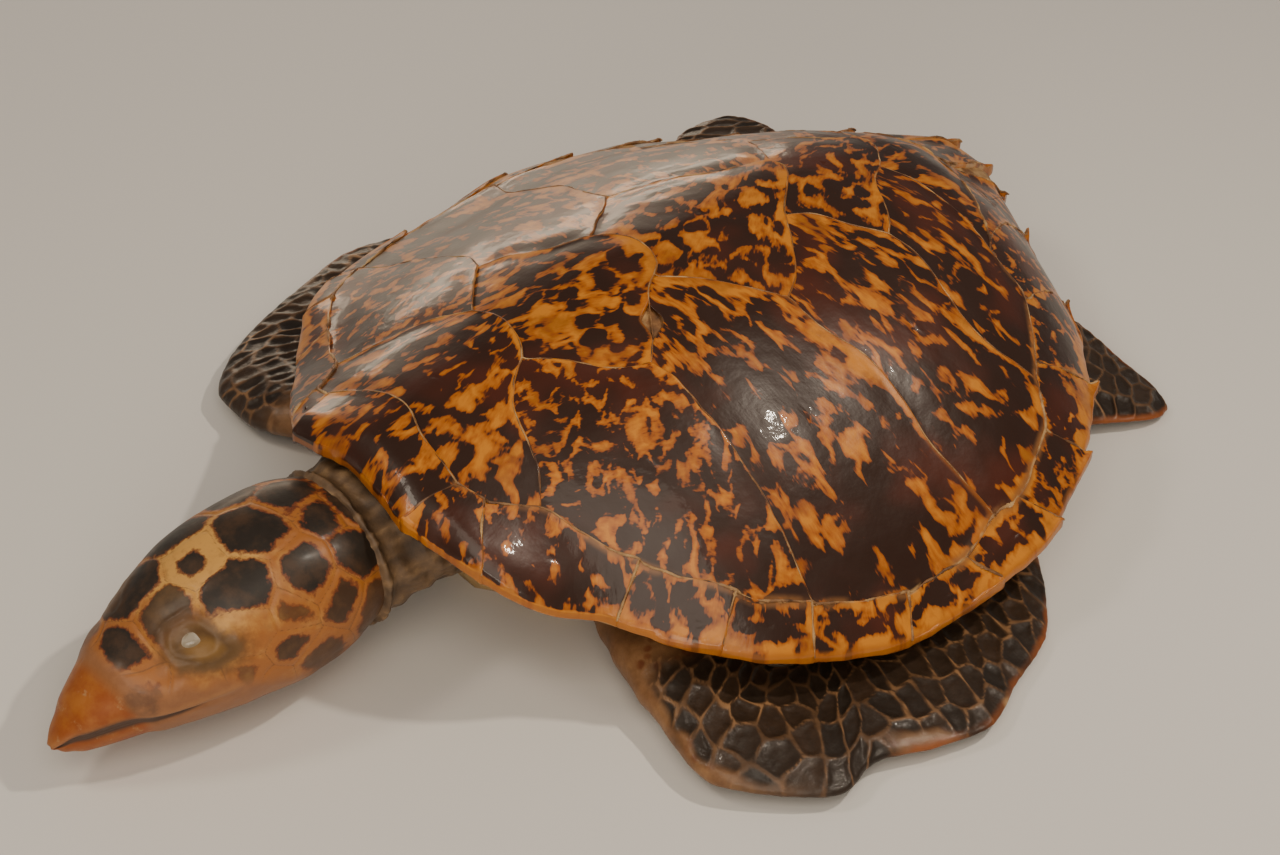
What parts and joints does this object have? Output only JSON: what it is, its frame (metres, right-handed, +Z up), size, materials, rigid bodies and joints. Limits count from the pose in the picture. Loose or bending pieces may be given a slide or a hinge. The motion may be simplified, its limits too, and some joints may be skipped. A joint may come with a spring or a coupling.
{
  "type": "preserved sea turtle shell specimen",
  "caption": "Preserved sea turtle lying on its lower shell: domed upper shell of overlapping horny scutes with a saw-edged rim, head, neck, four flippers and tail.",
  "frame": {"origin": "on the ground, on the flat underside of the lower shell, under the middle of the upper shell's length", "axes": "+Z up, -Y towards the head, +X towards the animal's left"},
  "size_m": [0.463, 0.592, 0.1369],
  "materials": {
    "shell_horn": "varnished amber horn with dark brown flames",
    "pale_horn": "smooth yellow-brown horn",
    "scaled_skin": "glossy dark scales with tan borders",
    "bare_skin": "dried wrinkled skin"
  },
  "bodies": {
    "root": {"carapace": "shell_horn", "plastron": "pale_horn", "shoulder_skin": "bare_skin", "hip_skin": "bare_skin", "neck": "bare_skin", "head": "scaled_skin", "front_flipper_left": "scaled_skin", "front_flipper_right": "scaled_skin", "rear_flipper_left": "scaled_skin", "rear_flipper_right": "scaled_skin", "tail": "scaled_skin"}
  },
  "joints": []
}
